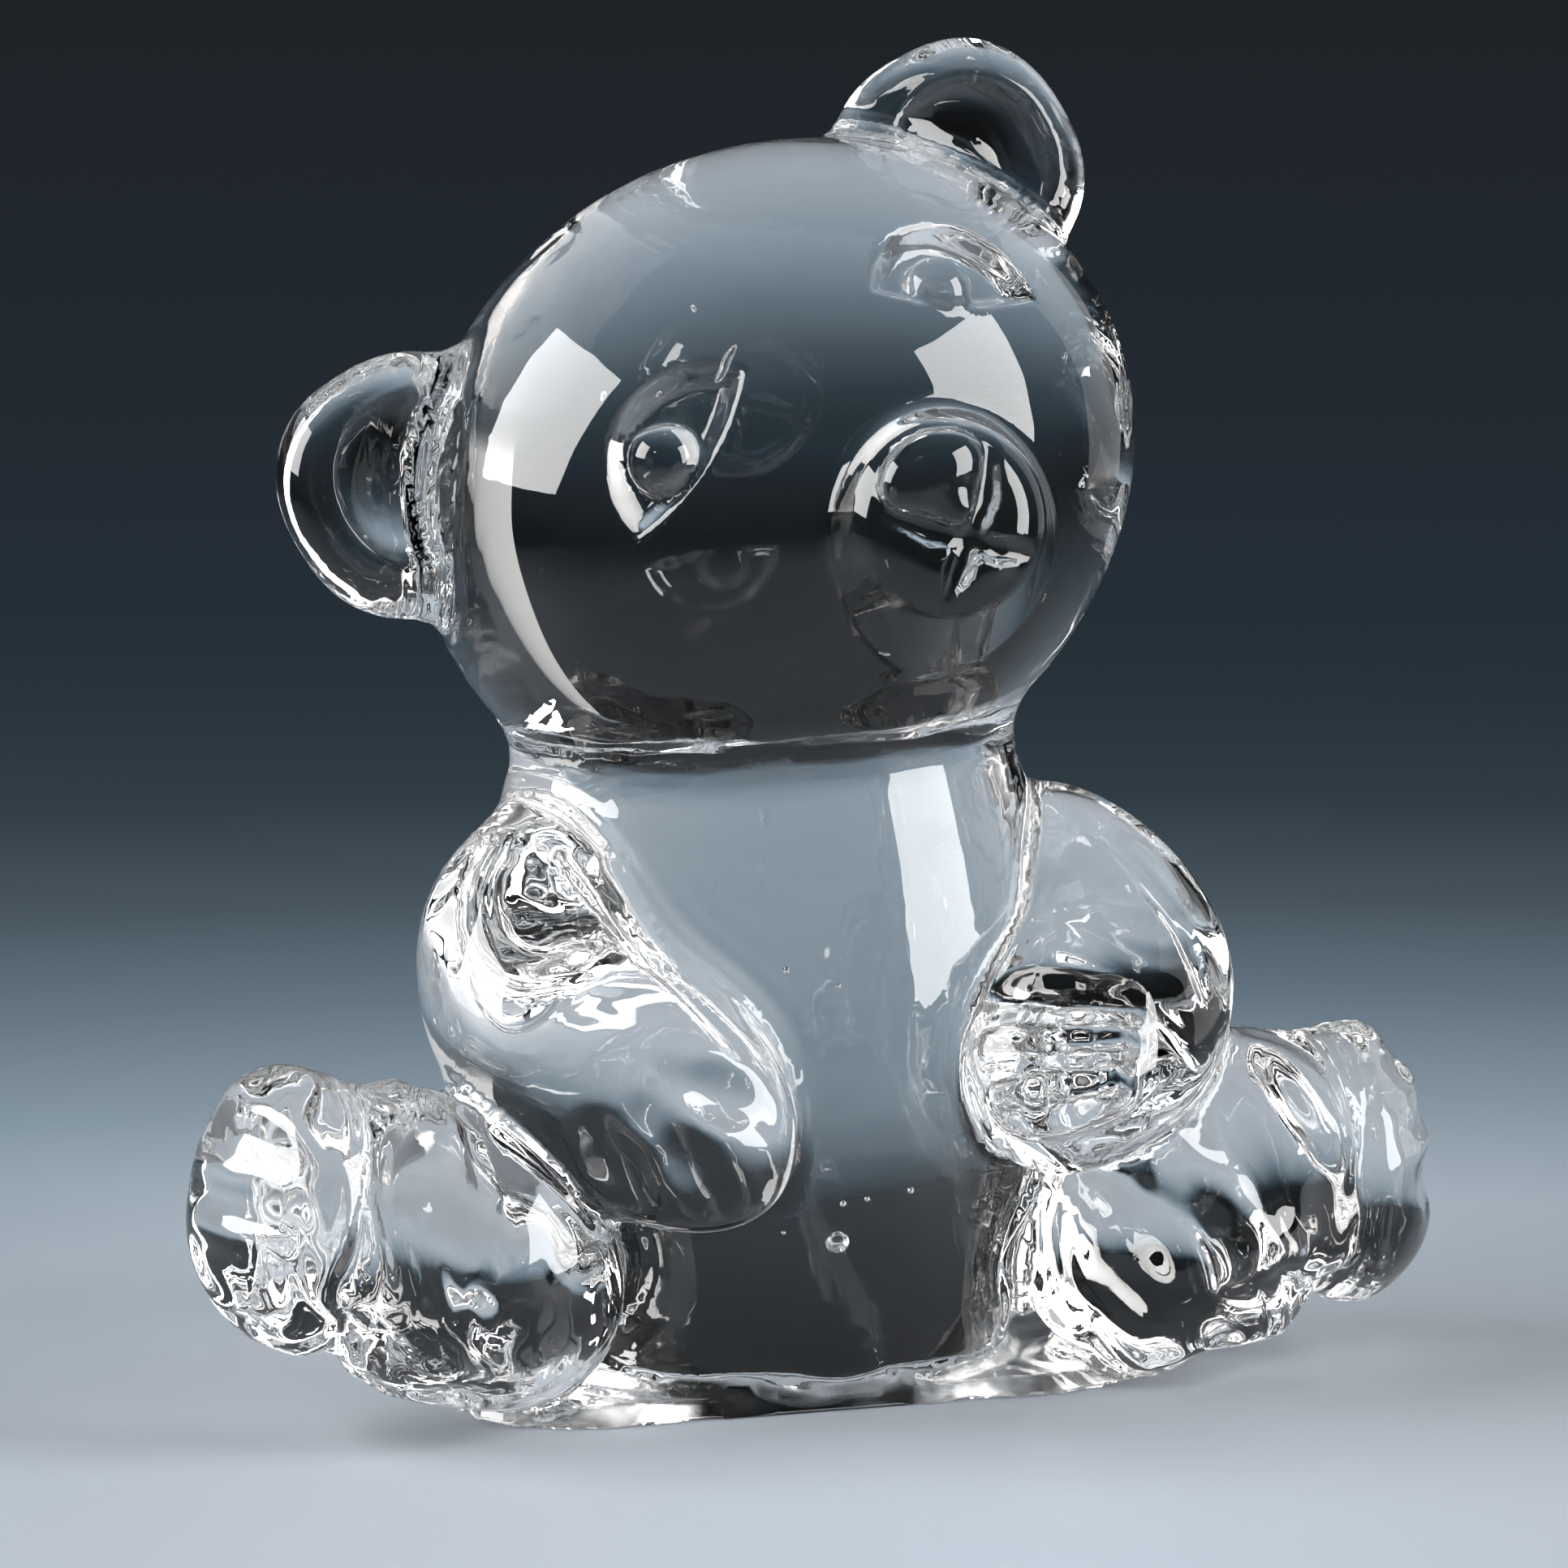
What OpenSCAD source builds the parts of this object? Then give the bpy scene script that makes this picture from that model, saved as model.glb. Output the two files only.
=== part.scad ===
// Seated bear cub in solid clear crystal, built up from gathers of hot glass.
// Millimetres. +Z up, the cub faces -Y, its left side is +X.
// The origin is the middle of the flat-ground base, on the surface it stands on.
// Every gather is its own solid, and meets its neighbours face to face where they fused.

/* [Torso] */
// Half width of the torso at the belly
torso_w = 26.8; // [25:0.1:28]
// Half depth of the torso
torso_d = 24.4; // [23:0.1:26]
// How strongly the torso narrows above and below the belly: its half height, uncut
torso_h = 40; // [38:0.5:44]
// Height of the belly's widest line
belly_z = 28; // [26:0.5:30]

/* [Base] */
// Width of the ground base
base_w = 62; // [58:1:66]
// Depth of the ground base
base_d = 41; // [38:1:44]
// Thickness of the base at the seam with the torso
base_t = 3; // [2:0.5:4]

/* [Neck] */
// Height of the seam between torso and neck
neck_z = 50; // [49:0.5:50.5]
// Half width of the neck
neck_w = 23.2; // [22:0.1:24]
// Half depth of the neck
neck_d = 21.4; // [20:0.1:22]

/* [Head] */
// Half width of the head, ear to ear
head_w = 32.8; // [32:0.1:34]
// Half depth of the head
head_d = 28; // [27:0.1:29]
// Half height of the head
head_h = 28.5; // [28:0.1:29]
// Height of the head's middle
head_z = 79.3; // [79.2:0.1:81]
// Tilt of the head towards the right shoulder, in degrees
head_roll = 27; // [24:1:30]
// Lift of the face, in degrees
head_lift = 12.4; // [10:0.2:14]

/* [Face] */
// Radius of the muzzle
muzzle_r = 9.3; // [8.5:0.1:10]
// Radius of an eye bead
eye_r = 3; // [2.6:0.1:3.4]
// Half the distance between the eye beads
eye_x = 14.3; // [13.5:0.1:15]
// Height of the eye beads above the middle of the head
eye_z = 6.9; // [6:0.1:8]
// How far the eyes sit off the middle of the face, towards the right ear
eye_off = 2; // [1:0.1:3]
// Slope of the pressed eye patches, in degrees
patch_slope = 29; // [24:1:34]
// Half length of an eye patch
patch_l = 9.4; // [9:0.1:10]
// Half height of an eye patch
patch_h = 5.8; // [5.4:0.1:6.2]

/* [Ears] */
// Radius of an ear
ear_r = 11.1; // [10.8:0.1:11.6]
// Half thickness of an ear
ear_t = 5.5; // [5:0.1:6]
// Radius of the dish pressed into the front of an ear
dish_r = 7.6; // [7.3:0.1:8]

/* [Limbs] */
// Radius of a shoulder
shoulder_r = 11.2; // [10.8:0.1:11.6]
// Radius of a forearm
forearm_r = 10.8; // [10.4:0.1:11.2]
// Radius of a haunch and its shin
haunch_r = 11.8; // [11.4:0.1:12.1]
// Half width of a foot
foot_w = 8.2; // [7.8:0.1:8.6]
// Half depth of a foot
foot_d = 11.5; // [11:0.1:12]
// Half height of a foot
foot_h = 12.2; // [11.6:0.1:12.6]
// How far the toes turn in, in degrees
toe_in = 8; // [4:1:12]

/* [Hidden] */
$fn = 48;
RIGHT = -1;
LEFT = 1;
crystal = [0.86, 0.91, 0.95, 0.45];
// Places and sizes on the head are in the head's own tilted frame.
head_at = [1, -2, head_z];
muzzle_at = [1, -25.5, -8.5];
muzzle_out = 8;
nose_at = [0.6, -33, -5];
nose_size = [4.2, 2.2, 2.6];
eye_sunk = 1.9;
// The almond that presses a patch: its half depth, how far it stands out, and how far the face
// leans back there.
patch_t = 3.4;
patch_out = 1.6;
brow = 14;
ear_x = 29.3;
ear_back = 1;
ear_z = 15.3;
dish_deep = 2.6;

// How far forward the skull's surface is, at a place on the face.
function face_y(x, z) = -head_d * sqrt(1 - pow(x / head_w, 2) - pow(z / head_h, 2));

// Where an eye bead's middle would be on the skull's surface.
function eye_at(side) =
  let (x = side * eye_x - eye_off) [x, face_y(x, eye_z), eye_z];

// An ellipsoid of glass: its middle, its half sizes along its own axes, and its turn.
module gather(at, size, turn = [0, 0, 0]) {
  translate(at) rotate(turn) scale(size) sphere(r = 1);
}

// An ellipsoid of revolution whose poles stand out past two points on its axis.
module limb(from, to, r, past) {
  run = to - from;
  long = norm(run);
  translate((from + to) / 2)
    rotate([0, acos(run.z / long), atan2(run.y, run.x)])
      rotate([0, 0, 90]) scale([r, r, long / 2 + past]) sphere(r = 1);
}

// The frame of the tilted head: x towards its left ear, -y out of the face, z to the crown.
module on_head() {
  translate(head_at) rotate([-head_lift, 0, 0]) rotate([0, -head_roll, 0]) children();
}

// All space on one side of a level: below it, or above it.
module below(z) {
  translate([-80, -80, z - 100]) cube([160, 160, 100]);
}

module above(z) {
  translate([-80, -80, z]) cube([160, 160, 100]);
}

module base_form() {
  end_r = base_d / 2;
  end_x = base_w / 2 - end_r;
  translate([0, -1, 0]) linear_extrude(base_t) {
    for (x = [-end_x, end_x]) translate([x, 0]) circle(r = end_r);
    square([2 * end_x, base_d], center = true);
  }
}

module torso_form() {
  gather([0, -2, belly_z], [torso_w, torso_d, torso_h]);
}

module neck_form() {
  gather([0, -1.5, neck_z + 1], [neck_w, neck_d, 9]);
}

module skull_form() {
  on_head() gather([0, 0, 0], [head_w, head_d, head_h]);
}

// A shallow almond pressed into the face, sloping down and outwards.
module patch_form(side) {
  at = eye_at(side);
  yaw = atan2(at.x / pow(head_w, 2), -at.y / pow(head_d, 2));
  on_head() translate(at - [0, patch_out, 0]) rotate([0, 0, yaw]) rotate([-brow, 0, 0])
    gather([0, 0, 0], [patch_l, patch_t, patch_h], [0, side * patch_slope, 0]);
}

module head_form() {
  difference() {
    skull_form();
    patch_form(RIGHT);
    patch_form(LEFT);
  }
}

module muzzle_form() {
  on_head() gather(muzzle_at, [muzzle_r, muzzle_out, muzzle_r]);
}

module arm_form(side) {
  shoulder = side == RIGHT ? [-21, -6, 43] : [24, -6, 42];
  elbow = side == RIGHT ? [-24.5, -16, 35] : [28.5, -15.3, 34.5];
  paw = side == RIGHT ? [-14.5, -27, 26.8] : [19.2, -26.5, 29.8];
  limb(shoulder, elbow, shoulder_r, 9.6);
  limb(elbow, paw, forearm_r, 9.3);
}

module leg_form(side) {
  haunch = side == RIGHT ? [-28.5, -20, 12.8] : [29.5, -16, 12.8];
  ankle = side == RIGHT ? [-40, -17.5, 20] : [41.5, -14, 21];
  limb(haunch, ankle, haunch_r, 10);
}

module foot_form(side) {
  middle = side == RIGHT ? [-47, -17.5, 20.2] : [50.5, -13, 20];
  gather(middle, [foot_w, foot_d, foot_h], [0, 0, -side * toe_in]);
}

module base() {
  color(crystal) base_form();
}

module torso() {
  color(crystal) difference() {
    torso_form();
    below(base_t);
    above(neck_z);
  }
}

module neck() {
  color(crystal) difference() {
    neck_form();
    below(neck_z);
    skull_form();
  }
}

module head() {
  color(crystal) head_form();
}

module muzzle() {
  color(crystal) difference() {
    muzzle_form();
    skull_form();
  }
}

module nose() {
  color(crystal) difference() {
    on_head() gather(nose_at, nose_size);
    muzzle_form();
  }
}

module eye(side) {
  color(crystal) difference() {
    on_head() translate(eye_at(side) + [0, eye_sunk, 0]) sphere(r = eye_r);
    head_form();
  }
}

module ear(side) {
  color(crystal) difference() {
    on_head() translate([side * ear_x, ear_back, ear_z]) difference() {
      gather([0, 0, 0], [ear_r, ear_t, ear_r]);
      gather([0, -ear_t - 0.3, 0], [dish_r, dish_deep, dish_r]);
    }
    skull_form();
  }
}

module arm(side) {
  color(crystal) difference() {
    arm_form(side);
    torso_form();
    above(neck_z);
  }
}

module leg(side) {
  color(crystal) difference() {
    leg_form(side);
    foot_form(side);
    base_form();
    torso_form();
    arm_form(side);
  }
}

module foot(side) {
  color(crystal) foot_form(side);
}

base();
torso();
neck();
head();
muzzle();
nose();
eye(RIGHT);  // eye_right
eye(LEFT);  // eye_left
ear(RIGHT);  // ear_right
ear(LEFT);  // ear_left
arm(RIGHT);  // arm_right
arm(LEFT);  // arm_left
leg(RIGHT);  // leg_right
leg(LEFT);  // leg_left
foot(RIGHT);  // foot_right
foot(LEFT);  // foot_left
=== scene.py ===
"""Seated bear cub in solid clear crystal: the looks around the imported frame.

The cub is hot glass run together, so its visible skin is one blended field of gathers. The field is
worked out on a regular grid, each point is given to the gather it belongs to, and every gather
becomes a closed piece of its own that shares its seams with its neighbours.
Lengths in the field are millimetres; meshes are in metres.
"""
import functools
import math

import bpy
import numpy as np
from mathutils import Matrix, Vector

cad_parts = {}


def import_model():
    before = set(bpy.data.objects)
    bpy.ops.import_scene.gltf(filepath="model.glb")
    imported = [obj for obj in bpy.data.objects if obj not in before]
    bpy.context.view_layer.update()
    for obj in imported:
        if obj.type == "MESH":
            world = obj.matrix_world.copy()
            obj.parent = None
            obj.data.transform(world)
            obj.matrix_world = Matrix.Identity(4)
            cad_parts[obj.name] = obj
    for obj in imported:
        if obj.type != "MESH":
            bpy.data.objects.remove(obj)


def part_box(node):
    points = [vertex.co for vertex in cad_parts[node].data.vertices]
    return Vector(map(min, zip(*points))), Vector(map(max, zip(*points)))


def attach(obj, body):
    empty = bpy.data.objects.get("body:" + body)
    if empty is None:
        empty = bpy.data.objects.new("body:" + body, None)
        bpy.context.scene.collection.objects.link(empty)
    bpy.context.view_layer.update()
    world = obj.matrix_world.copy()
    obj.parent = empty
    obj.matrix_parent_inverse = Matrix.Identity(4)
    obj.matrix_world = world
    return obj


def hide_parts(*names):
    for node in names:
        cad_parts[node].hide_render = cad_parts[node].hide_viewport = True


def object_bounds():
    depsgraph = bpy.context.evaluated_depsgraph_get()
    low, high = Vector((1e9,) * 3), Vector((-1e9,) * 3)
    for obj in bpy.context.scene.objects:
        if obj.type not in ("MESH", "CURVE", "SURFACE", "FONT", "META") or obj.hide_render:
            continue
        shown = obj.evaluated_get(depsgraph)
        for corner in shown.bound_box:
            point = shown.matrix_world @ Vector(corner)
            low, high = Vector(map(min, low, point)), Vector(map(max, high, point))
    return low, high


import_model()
cad_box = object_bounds()

MM = 0.001
CELL = 0.6  # spacing of the grid that the glass is worked out on
RIGHT, LEFT = -1, 1
SKIN, SEAM, GROUND = 0, 1, 2  # numbers of the finishes on each piece
UNDERSIDE = 0.05  # faces no higher than this are the ground underside
CRYSTAL_IOR = 1.545

# ---------------------------------------------------------------------------------------------
# Places, taken from the frame
# ---------------------------------------------------------------------------------------------


@functools.lru_cache(maxsize=None)
def corners(node):
    """Lowest and highest corner of a CAD node, in millimetres."""
    low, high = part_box(node)
    return np.array(low) / MM, np.array(high) / MM


def spot(node, fx, fy, fz):
    """The point at these fractions of the way across a CAD node's box."""
    low, high = corners(node)
    return low + np.array([fx, fy, fz]) * (high - low)


def turned(x=0.0, y=0.0, z=0.0):
    """Rotation matrix that turns about x, then y, then z, in degrees."""
    a, b, c = np.radians([x, y, z])
    rx = np.array([[1, 0, 0], [0, math.cos(a), -math.sin(a)], [0, math.sin(a), math.cos(a)]])
    ry = np.array([[math.cos(b), 0, math.sin(b)], [0, 1, 0], [-math.sin(b), 0, math.cos(b)]])
    rz = np.array([[math.cos(c), -math.sin(c), 0], [math.sin(c), math.cos(c), 0], [0, 0, 1]])
    return rz @ ry @ rx


# ---------------------------------------------------------------------------------------------
# Shapes of glass: each returns the signed distance of the points p from one form
# ---------------------------------------------------------------------------------------------


def egg(p, at, half, turn=None, power=2.0):
    """Ellipsoid: with k the length of the point in units of the half sizes, and g the length of that
    measure's gradient, the distance is k (k - 1) / g. A power over 2 squares the form off."""
    q = p - at if turn is None else (p - at) @ turn
    half = np.asarray(half, float)
    if power == 2.0:
        k = np.sqrt(np.sum((q / half) ** 2, -1))
        g = np.sqrt(np.sum((q / half ** 2) ** 2, -1))
        return k * (k - 1) / np.maximum(g, 1e-6)
    u = np.abs(q / half)
    k = np.sum(u ** power, -1) ** (1 / power)
    g = np.sqrt(np.sum((u ** (power - 1) / half) ** 2, -1)) / np.maximum(k, 1e-6) ** (power - 1)
    return (k - 1) / np.maximum(g, 1e-6)


def limb(p, start, end, r, past):
    """Ellipsoid of revolution whose poles stand past two points on its axis."""
    run = end - start
    long = np.linalg.norm(run)
    lean = math.degrees(math.acos(run[2] / long))
    swing = math.degrees(math.atan2(run[1], run[0]))
    return egg(p, (start + end) / 2, (r, r, long / 2 + past), turned(z=swing) @ turned(y=lean))


def drum(p, at, turn, r, tall, edge, taper, crown):
    """Round drum along y: the distance to a rectangle in the plane of radius and height, shrunk and
    then swollen by the edge's radius. It narrows by taper and its ends are crowned, per length."""
    q = (p - at) @ turn
    out = np.hypot(q[..., 0], q[..., 2])
    a = out + taper * (-q[..., 1]) - (r - edge)
    b = np.abs(q[..., 1]) + crown * out ** 2 - (tall - edge)
    return np.hypot(np.maximum(a, 0), np.maximum(b, 0)) + np.minimum(np.maximum(a, b), 0) - edge


def groove(p, start, end, r0, r1):
    """Tapered rod: the distance to the segment between two points, less a radius that goes evenly
    from r0 to r1 along it."""
    run = end - start
    t = np.clip(((p - start) @ run) / (run @ run), 0, 1)
    return np.sqrt(np.sum((p - start - t[..., None] * run) ** 2, -1)) - (r0 + (r1 - r0) * t)


def melt(a, b, k):
    """Union of two forms with a fillet of width k: the lesser distance, lowered where they are close."""
    h = np.clip(0.5 + 0.5 * (b - a) / k, 0, 1)
    return b * (1 - h) + a * h - k * h * (1 - h)


def press(a, b, k):
    """Form a with form b pressed out of it, with an edge rounded over width k."""
    return -melt(-a, b, k)


def step(x, low, high):
    """0 below low, 1 above high, and a smooth cubic between them."""
    t = np.clip((x - low) / (high - low), 0, 1)
    return t * t * (3 - 2 * t)


def waves(p, size, deep, phase):
    """Waviness of hand-worked glass: three crossed sine waves of about this length, the first two
    bent by slower waves. Their mean is scaled by deep, and the phase moves them along."""
    x, y, z = p[..., 0], p[..., 1], p[..., 2]
    k = 2 * math.pi / size
    a = np.sin(k * (0.8 * x + 0.6 * z) + phase + 1.3 * np.sin(0.6 * k * (y - 0.5 * z) + 2 * phase))
    b = np.sin(1.3 * k * (0.7 * y - 0.7 * z) + 2 * phase + 1.2 * np.sin(0.5 * k * (x + 0.3 * y)))
    c = np.sin(0.7 * k * (x - 0.5 * y) + 3 * phase)
    return deep * (a + b + c) / 3


# ---------------------------------------------------------------------------------------------
# The cub
# ---------------------------------------------------------------------------------------------

# Waviness of each gather: length of the waves, their height, and the phase that sets them apart.
WAVES = {
    "torso": (30, 0.10, 1.0),
    "base": (10, 0.10, 3.0),
    "head": (34, 0.10, 0.5),
}
EAR_WAVE = (9, 0.07)
FOOT_WAVE = (13, 0.45)
LEG_WAVE = (20, 0.3)
HEAD_ROLL = 27.0
HEAD_LIFT = 12.4
HEAD = turned(x=-HEAD_LIFT) @ turned(y=-HEAD_ROLL)
HEAD_SHAPE = np.array([32.8, 28.0, 28.5])


def head_gather():
    """Middle and half sizes of the head: an ellipsoid in the tilted frame that fills its CAD box."""
    low, high = corners("head")
    scale = (high[2] - low[2]) / (2 * np.linalg.norm(HEAD[2] * HEAD_SHAPE))
    return spot("head", 0.5, 0.5, 0.5), HEAD_SHAPE * scale


HEAD_AT, HEAD_HALF = head_gather()


def on_head(x, y, z):
    """A place in the head's own frame, in the cub's frame."""
    return HEAD_AT + HEAD @ np.array([x, y, z], float)


def face_y(x, z):
    """How far forward the skull's surface is at a place on the face."""
    return -HEAD_HALF[1] * math.sqrt(1 - (x / HEAD_HALF[0]) ** 2 - (z / HEAD_HALF[2]) ** 2)


BELLY = 28.0  # height of the body's widest place
BELLY_UP, BELLY_DOWN = 46.0, 42.0  # half heights of the egg above and below it
NECK_FLARE = 0.10  # how much wider the neck gets for its height
NECK_REACH = 12  # height past which it gets no wider


def torso(p):
    """Egg-shaped body, widest below its middle, with slow unevenness."""
    low, high = corners("torso")
    middle = np.array([(low[0] + high[0]) / 2, (low[1] + high[1]) / 2, BELLY])
    half = np.empty_like(p)
    half[..., :2] = (high - low)[:2] / 2
    half[..., 2] = np.where(p[..., 2] > BELLY, BELLY_UP, BELLY_DOWN)
    return egg(p, middle, half) + waves(p, *WAVES["torso"])


def neck(p):
    """The body carried on up to the head, a little wider with height."""
    rise = p[..., 2] - corners("neck")[0][2]
    return torso(p) - NECK_FLARE * np.clip(rise, -NECK_REACH, NECK_REACH)


BASE_CORNER = 11.0  # radius of the corners in plan
BASE_DRAFT = 0.45  # how far the wall leans in for its height
BASE_INSET = 0.3
BASE_TOP = 1.7


def base(p):
    """The ground web: a pad with straight sides and round corners, whose wall leans in upwards."""
    low, high = corners("base")
    middle, half = (low + high)[:2] / 2, (high - low)[:2] / 2
    x, y = (np.abs(p[..., i] - middle[i]) - (half[i] - BASE_CORNER) for i in (0, 1))
    side = np.hypot(np.maximum(x, 0), np.maximum(y, 0)) + np.minimum(np.maximum(x, y), 0) - BASE_CORNER
    wall = side + BASE_DRAFT * np.maximum(p[..., 2], 0) + BASE_INSET
    return np.maximum(wall, p[..., 2] - BASE_TOP) + waves(p, *WAVES["base"])


# The almond patches: half length, bulge above and below the chord, its slope in degrees, depth, and
# the width over which that depth is reached.
PATCH = {"along": 8.7, "above": 7.6, "below": 2.1, "slope": 29.0, "deep": 2.2, "wall": 2.7}
PATCH_AT = {RIGHT: (-13.9, 6.4), LEFT: (14.1, 6.9)}
PATCH_FRONT = 12  # how far behind the face the patch may reach


def patch_depth(p, side):
    """Depth of the almond patch pressed into the face round one eye. In the plane that touches the
    skull there, its outline is the overlap of a small disc above a chord and a wide disc below it,
    and the depth rises from that sharp outline to a level floor."""
    x0, z0 = PATCH_AT[side]
    y0 = face_y(x0, z0)
    yaw = math.degrees(math.atan2(x0 / HEAD_HALF[0] ** 2, -y0 / HEAD_HALF[1] ** 2))
    lean = math.degrees(math.atan2(z0 / HEAD_HALF[2] ** 2, -y0 / HEAD_HALF[1] ** 2))
    axes = turned(z=yaw) @ turned(x=-lean) @ turned(y=side * PATCH["slope"])
    q = ((p - HEAD_AT) @ HEAD - np.array([x0, y0, z0])) @ axes
    u, v, w = q[..., 0], q[..., 1], q[..., 2]
    outline = np.full(u.shape, -FAR)
    for bulge, way in ((PATCH["above"], 1), (PATCH["below"], -1)):
        r = (PATCH["along"] ** 2 + bulge ** 2) / (2 * bulge)
        outline = np.maximum(outline, np.hypot(u, w - way * (bulge - r)) - r)
    return PATCH["deep"] * step(-outline, 0.0, PATCH["wall"]) * (v < PATCH_FRONT)


def head(p):
    """The tilted skull with both patches pressed into the face."""
    dents = patch_depth(p, RIGHT) + patch_depth(p, LEFT)
    return egg(p, HEAD_AT, HEAD_HALF, HEAD) + dents + waves(p, *WAVES["head"])


MUZZLE_AT = (1.3, -25.5, -8.8)
MUZZLE = {"r": 10.5, "tall": 8.0, "edge": 2.8, "taper": 0.40, "crown": 0.006}


def muzzle(p):
    """A round boss with a rounded edge and a slightly domed front."""
    return drum(p, on_head(*MUZZLE_AT), HEAD, **MUZZLE)


NOSE_TOP = ((0.8, -33.0, -4.7), (4.8, 2.7, 3.5))  # place on the head, half sizes
NOSE_TIP = ((0.8, -32.9, -7.9), (2.1, 2.0, 2.4))
NOSE_FILLET = 1.2


def nose(p):
    """A wide dome over the mouth's crossing, narrower below."""
    top, tip = (egg(p, on_head(*at), half, HEAD) for at, half in (NOSE_TOP, NOSE_TIP))
    return melt(top, tip, NOSE_FILLET)


EYE_AT = {RIGHT: (-15.4, 6.9), LEFT: (12.7, 7.6)}
EYE_R = 3.1
EYE_SUNK = 1.9  # depth of the bead's middle under the skull's surface


def eye(p, side):
    """A round bead, sunk in the floor of its patch."""
    x, z = EYE_AT[side]
    return egg(p, on_head(x, face_y(x, z) + EYE_SUNK, z), (EYE_R, EYE_R, EYE_R))


EAR_AT = (29.3, 1.0, 15.3)  # the left ear's middle on the head; the right one mirrors it
EAR_HALF = (11.1, 5.5, 11.1)
EAR_SQUARE = 2.3  # power of the disc, whose rim is a little squarer than an ellipsoid's
EAR_FRONT = {"in": 0.3, "ahead": 6.4, "half": (8.8, 4.4, 8.8), "edge": 0.6}
EAR_BACK = {"behind": 6.6, "half": (8.2, 3.2, 8.2), "edge": 0.8}


def ear(p, side):
    """A thick disc, dished at the front and a little at the back."""
    at = on_head(side * EAR_AT[0], *EAR_AT[1:])
    disc = egg(p, at, EAR_HALF, HEAD, power=EAR_SQUARE)
    before = at + HEAD @ np.array([-side * EAR_FRONT["in"], -EAR_FRONT["ahead"], 0])
    behind = at + HEAD @ np.array([0, EAR_BACK["behind"], 0])
    dished = press(disc, egg(p, before, EAR_FRONT["half"], HEAD), EAR_FRONT["edge"])
    dished = press(dished, egg(p, behind, EAR_BACK["half"], HEAD), EAR_BACK["edge"])
    return dished + waves(p, *EAR_WAVE, side)


# Points of each limb, as fractions of the way across its own CAD box.
ARM = {
    RIGHT: ((0.47, 0.77, 0.78), (0.35, 0.51, 0.53), (0.70, 0.23, 0.27)),
    LEFT: ((0.49, 0.76, 0.73), (0.65, 0.52, 0.47), (0.32, 0.23, 0.31)),
}
LEG = {
    RIGHT: ((0.61, 0.45, 0.365), (0.155, 0.55, 0.635)),
    LEFT: ((0.37, 0.46, 0.35), (0.83, 0.54, 0.69)),
}
SIDE_NAME = {RIGHT: "right", LEFT: "left"}


def limb_spot(kind, side, fractions):
    """The point at these fractions of the way across the box of one side's arm, leg or foot."""
    return spot(f"{kind}_{SIDE_NAME[side]}", *fractions)


def limb_points(kind, side, places):
    """The points of a limb, from places given as fractions of its box."""
    return [limb_spot(kind, side, fractions) for fractions in places]


UPPER_ARM = {"r": 11.2, "past": 9.6}
FOREARM = {"r": 10.8, "past": 9.3}
ELBOW_FILLET = 3.0
ARM_WAVE = (15, 0.40)
RINGS = {"pitch": 3.2, "deep": 0.15, "reach": 4.0}
RINGS_AT = (0.62, 0.30, 0.84)  # on the left arm


def rings(p, middle, pitch, deep, reach):
    """Rings left where a thread of glass folded into the gather: a sine of the distance from a
    place, which dies away over the reach."""
    far = np.sqrt(np.sum((p - middle) ** 2, -1))
    return deep * np.sin(2 * math.pi * far / pitch) * np.exp(-far / reach)


def arm(p, side):
    """Two gathers that meet at the elbow, wavy. The left one has rings of folded glass near the
    shoulder."""
    shoulder, elbow, paw = limb_points("arm", side, ARM[side])
    whole = melt(limb(p, shoulder, elbow, **UPPER_ARM), limb(p, elbow, paw, **FOREARM), ELBOW_FILLET)
    folded = rings(p, limb_spot("arm", side, RINGS_AT), **RINGS) if side == LEFT else 0.0
    return whole + waves(p, *ARM_WAVE, side) + folded


LEG_R = {RIGHT: 12.4, LEFT: 13.7}
LEG_PAST = 10
LEG_DROP = {RIGHT: 0.3, LEFT: 1.6}  # how far the thigh sags below its CAD gather
LEG_PULL = (12, 1.2)  # length and height of the waves where the leg was drawn out
LEG_RIPPLE = (6.5, 0.30)
LEG_PHASE = {RIGHT: 1.0, LEFT: 5.2}
LEG_SMOOTH = {RIGHT: (-0.45, 0.25), LEFT: (-1.0, 0.0)}  # where along the leg those waves set in
FOOT_HALF = {RIGHT: (8.2, 11.5, 12.2), LEFT: (8.2, 11.5, 12.6)}
FOOT_DROP = {RIGHT: 0.0, LEFT: 2.3}
FOOT_OUT = 8  # degrees that the toes turn out
FOOT_PHASE = 4


def leg(p, side):
    """A thigh with a smooth knee end, pulled and wavy where it was drawn out towards the foot."""
    drop = np.array([0, 0, LEG_DROP[side]])
    haunch, ankle = (at - drop for at in limb_points("leg", side, LEG[side]))
    run = ankle - haunch
    drawn_out = step(((p - haunch) @ run) / (run @ run), *LEG_SMOOTH[side])
    rough = waves(p, *LEG_PULL, LEG_PHASE[side]) + waves(p, *LEG_RIPPLE, side)
    thigh = limb(p, haunch, ankle, LEG_R[side], LEG_PAST)
    return thigh + waves(p, *LEG_WAVE, side) + drawn_out * rough


def foot(p, side):
    """A fat round foot that hangs from the top of its CAD box."""
    half = FOOT_HALF[side]
    top = limb_spot("foot", side, (0.5, 0.5, 1.0))
    middle = top - np.array([0, 0, half[2] + FOOT_DROP[side]])
    return egg(p, middle, half, turned(z=-FOOT_OUT * side)) + waves(p, *FOOT_WAVE, FOOT_PHASE + side)


class Gather:
    """One gather of glass: its form, the width of the fillet where it runs into those before it,
    the height and pitch of the fine folds that follow that joint, and how far they spread."""

    def __init__(self, name, form, fillet=0.0, folds=0.0, pitch=1.6, spread=2.0):
        self.name, self.form, self.fillet = name, form, fillet
        self.folds, self.pitch, self.spread = folds, pitch, spread
        low, high = corners(name)
        self.low, self.high = low - REACH, high + REACH


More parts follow.
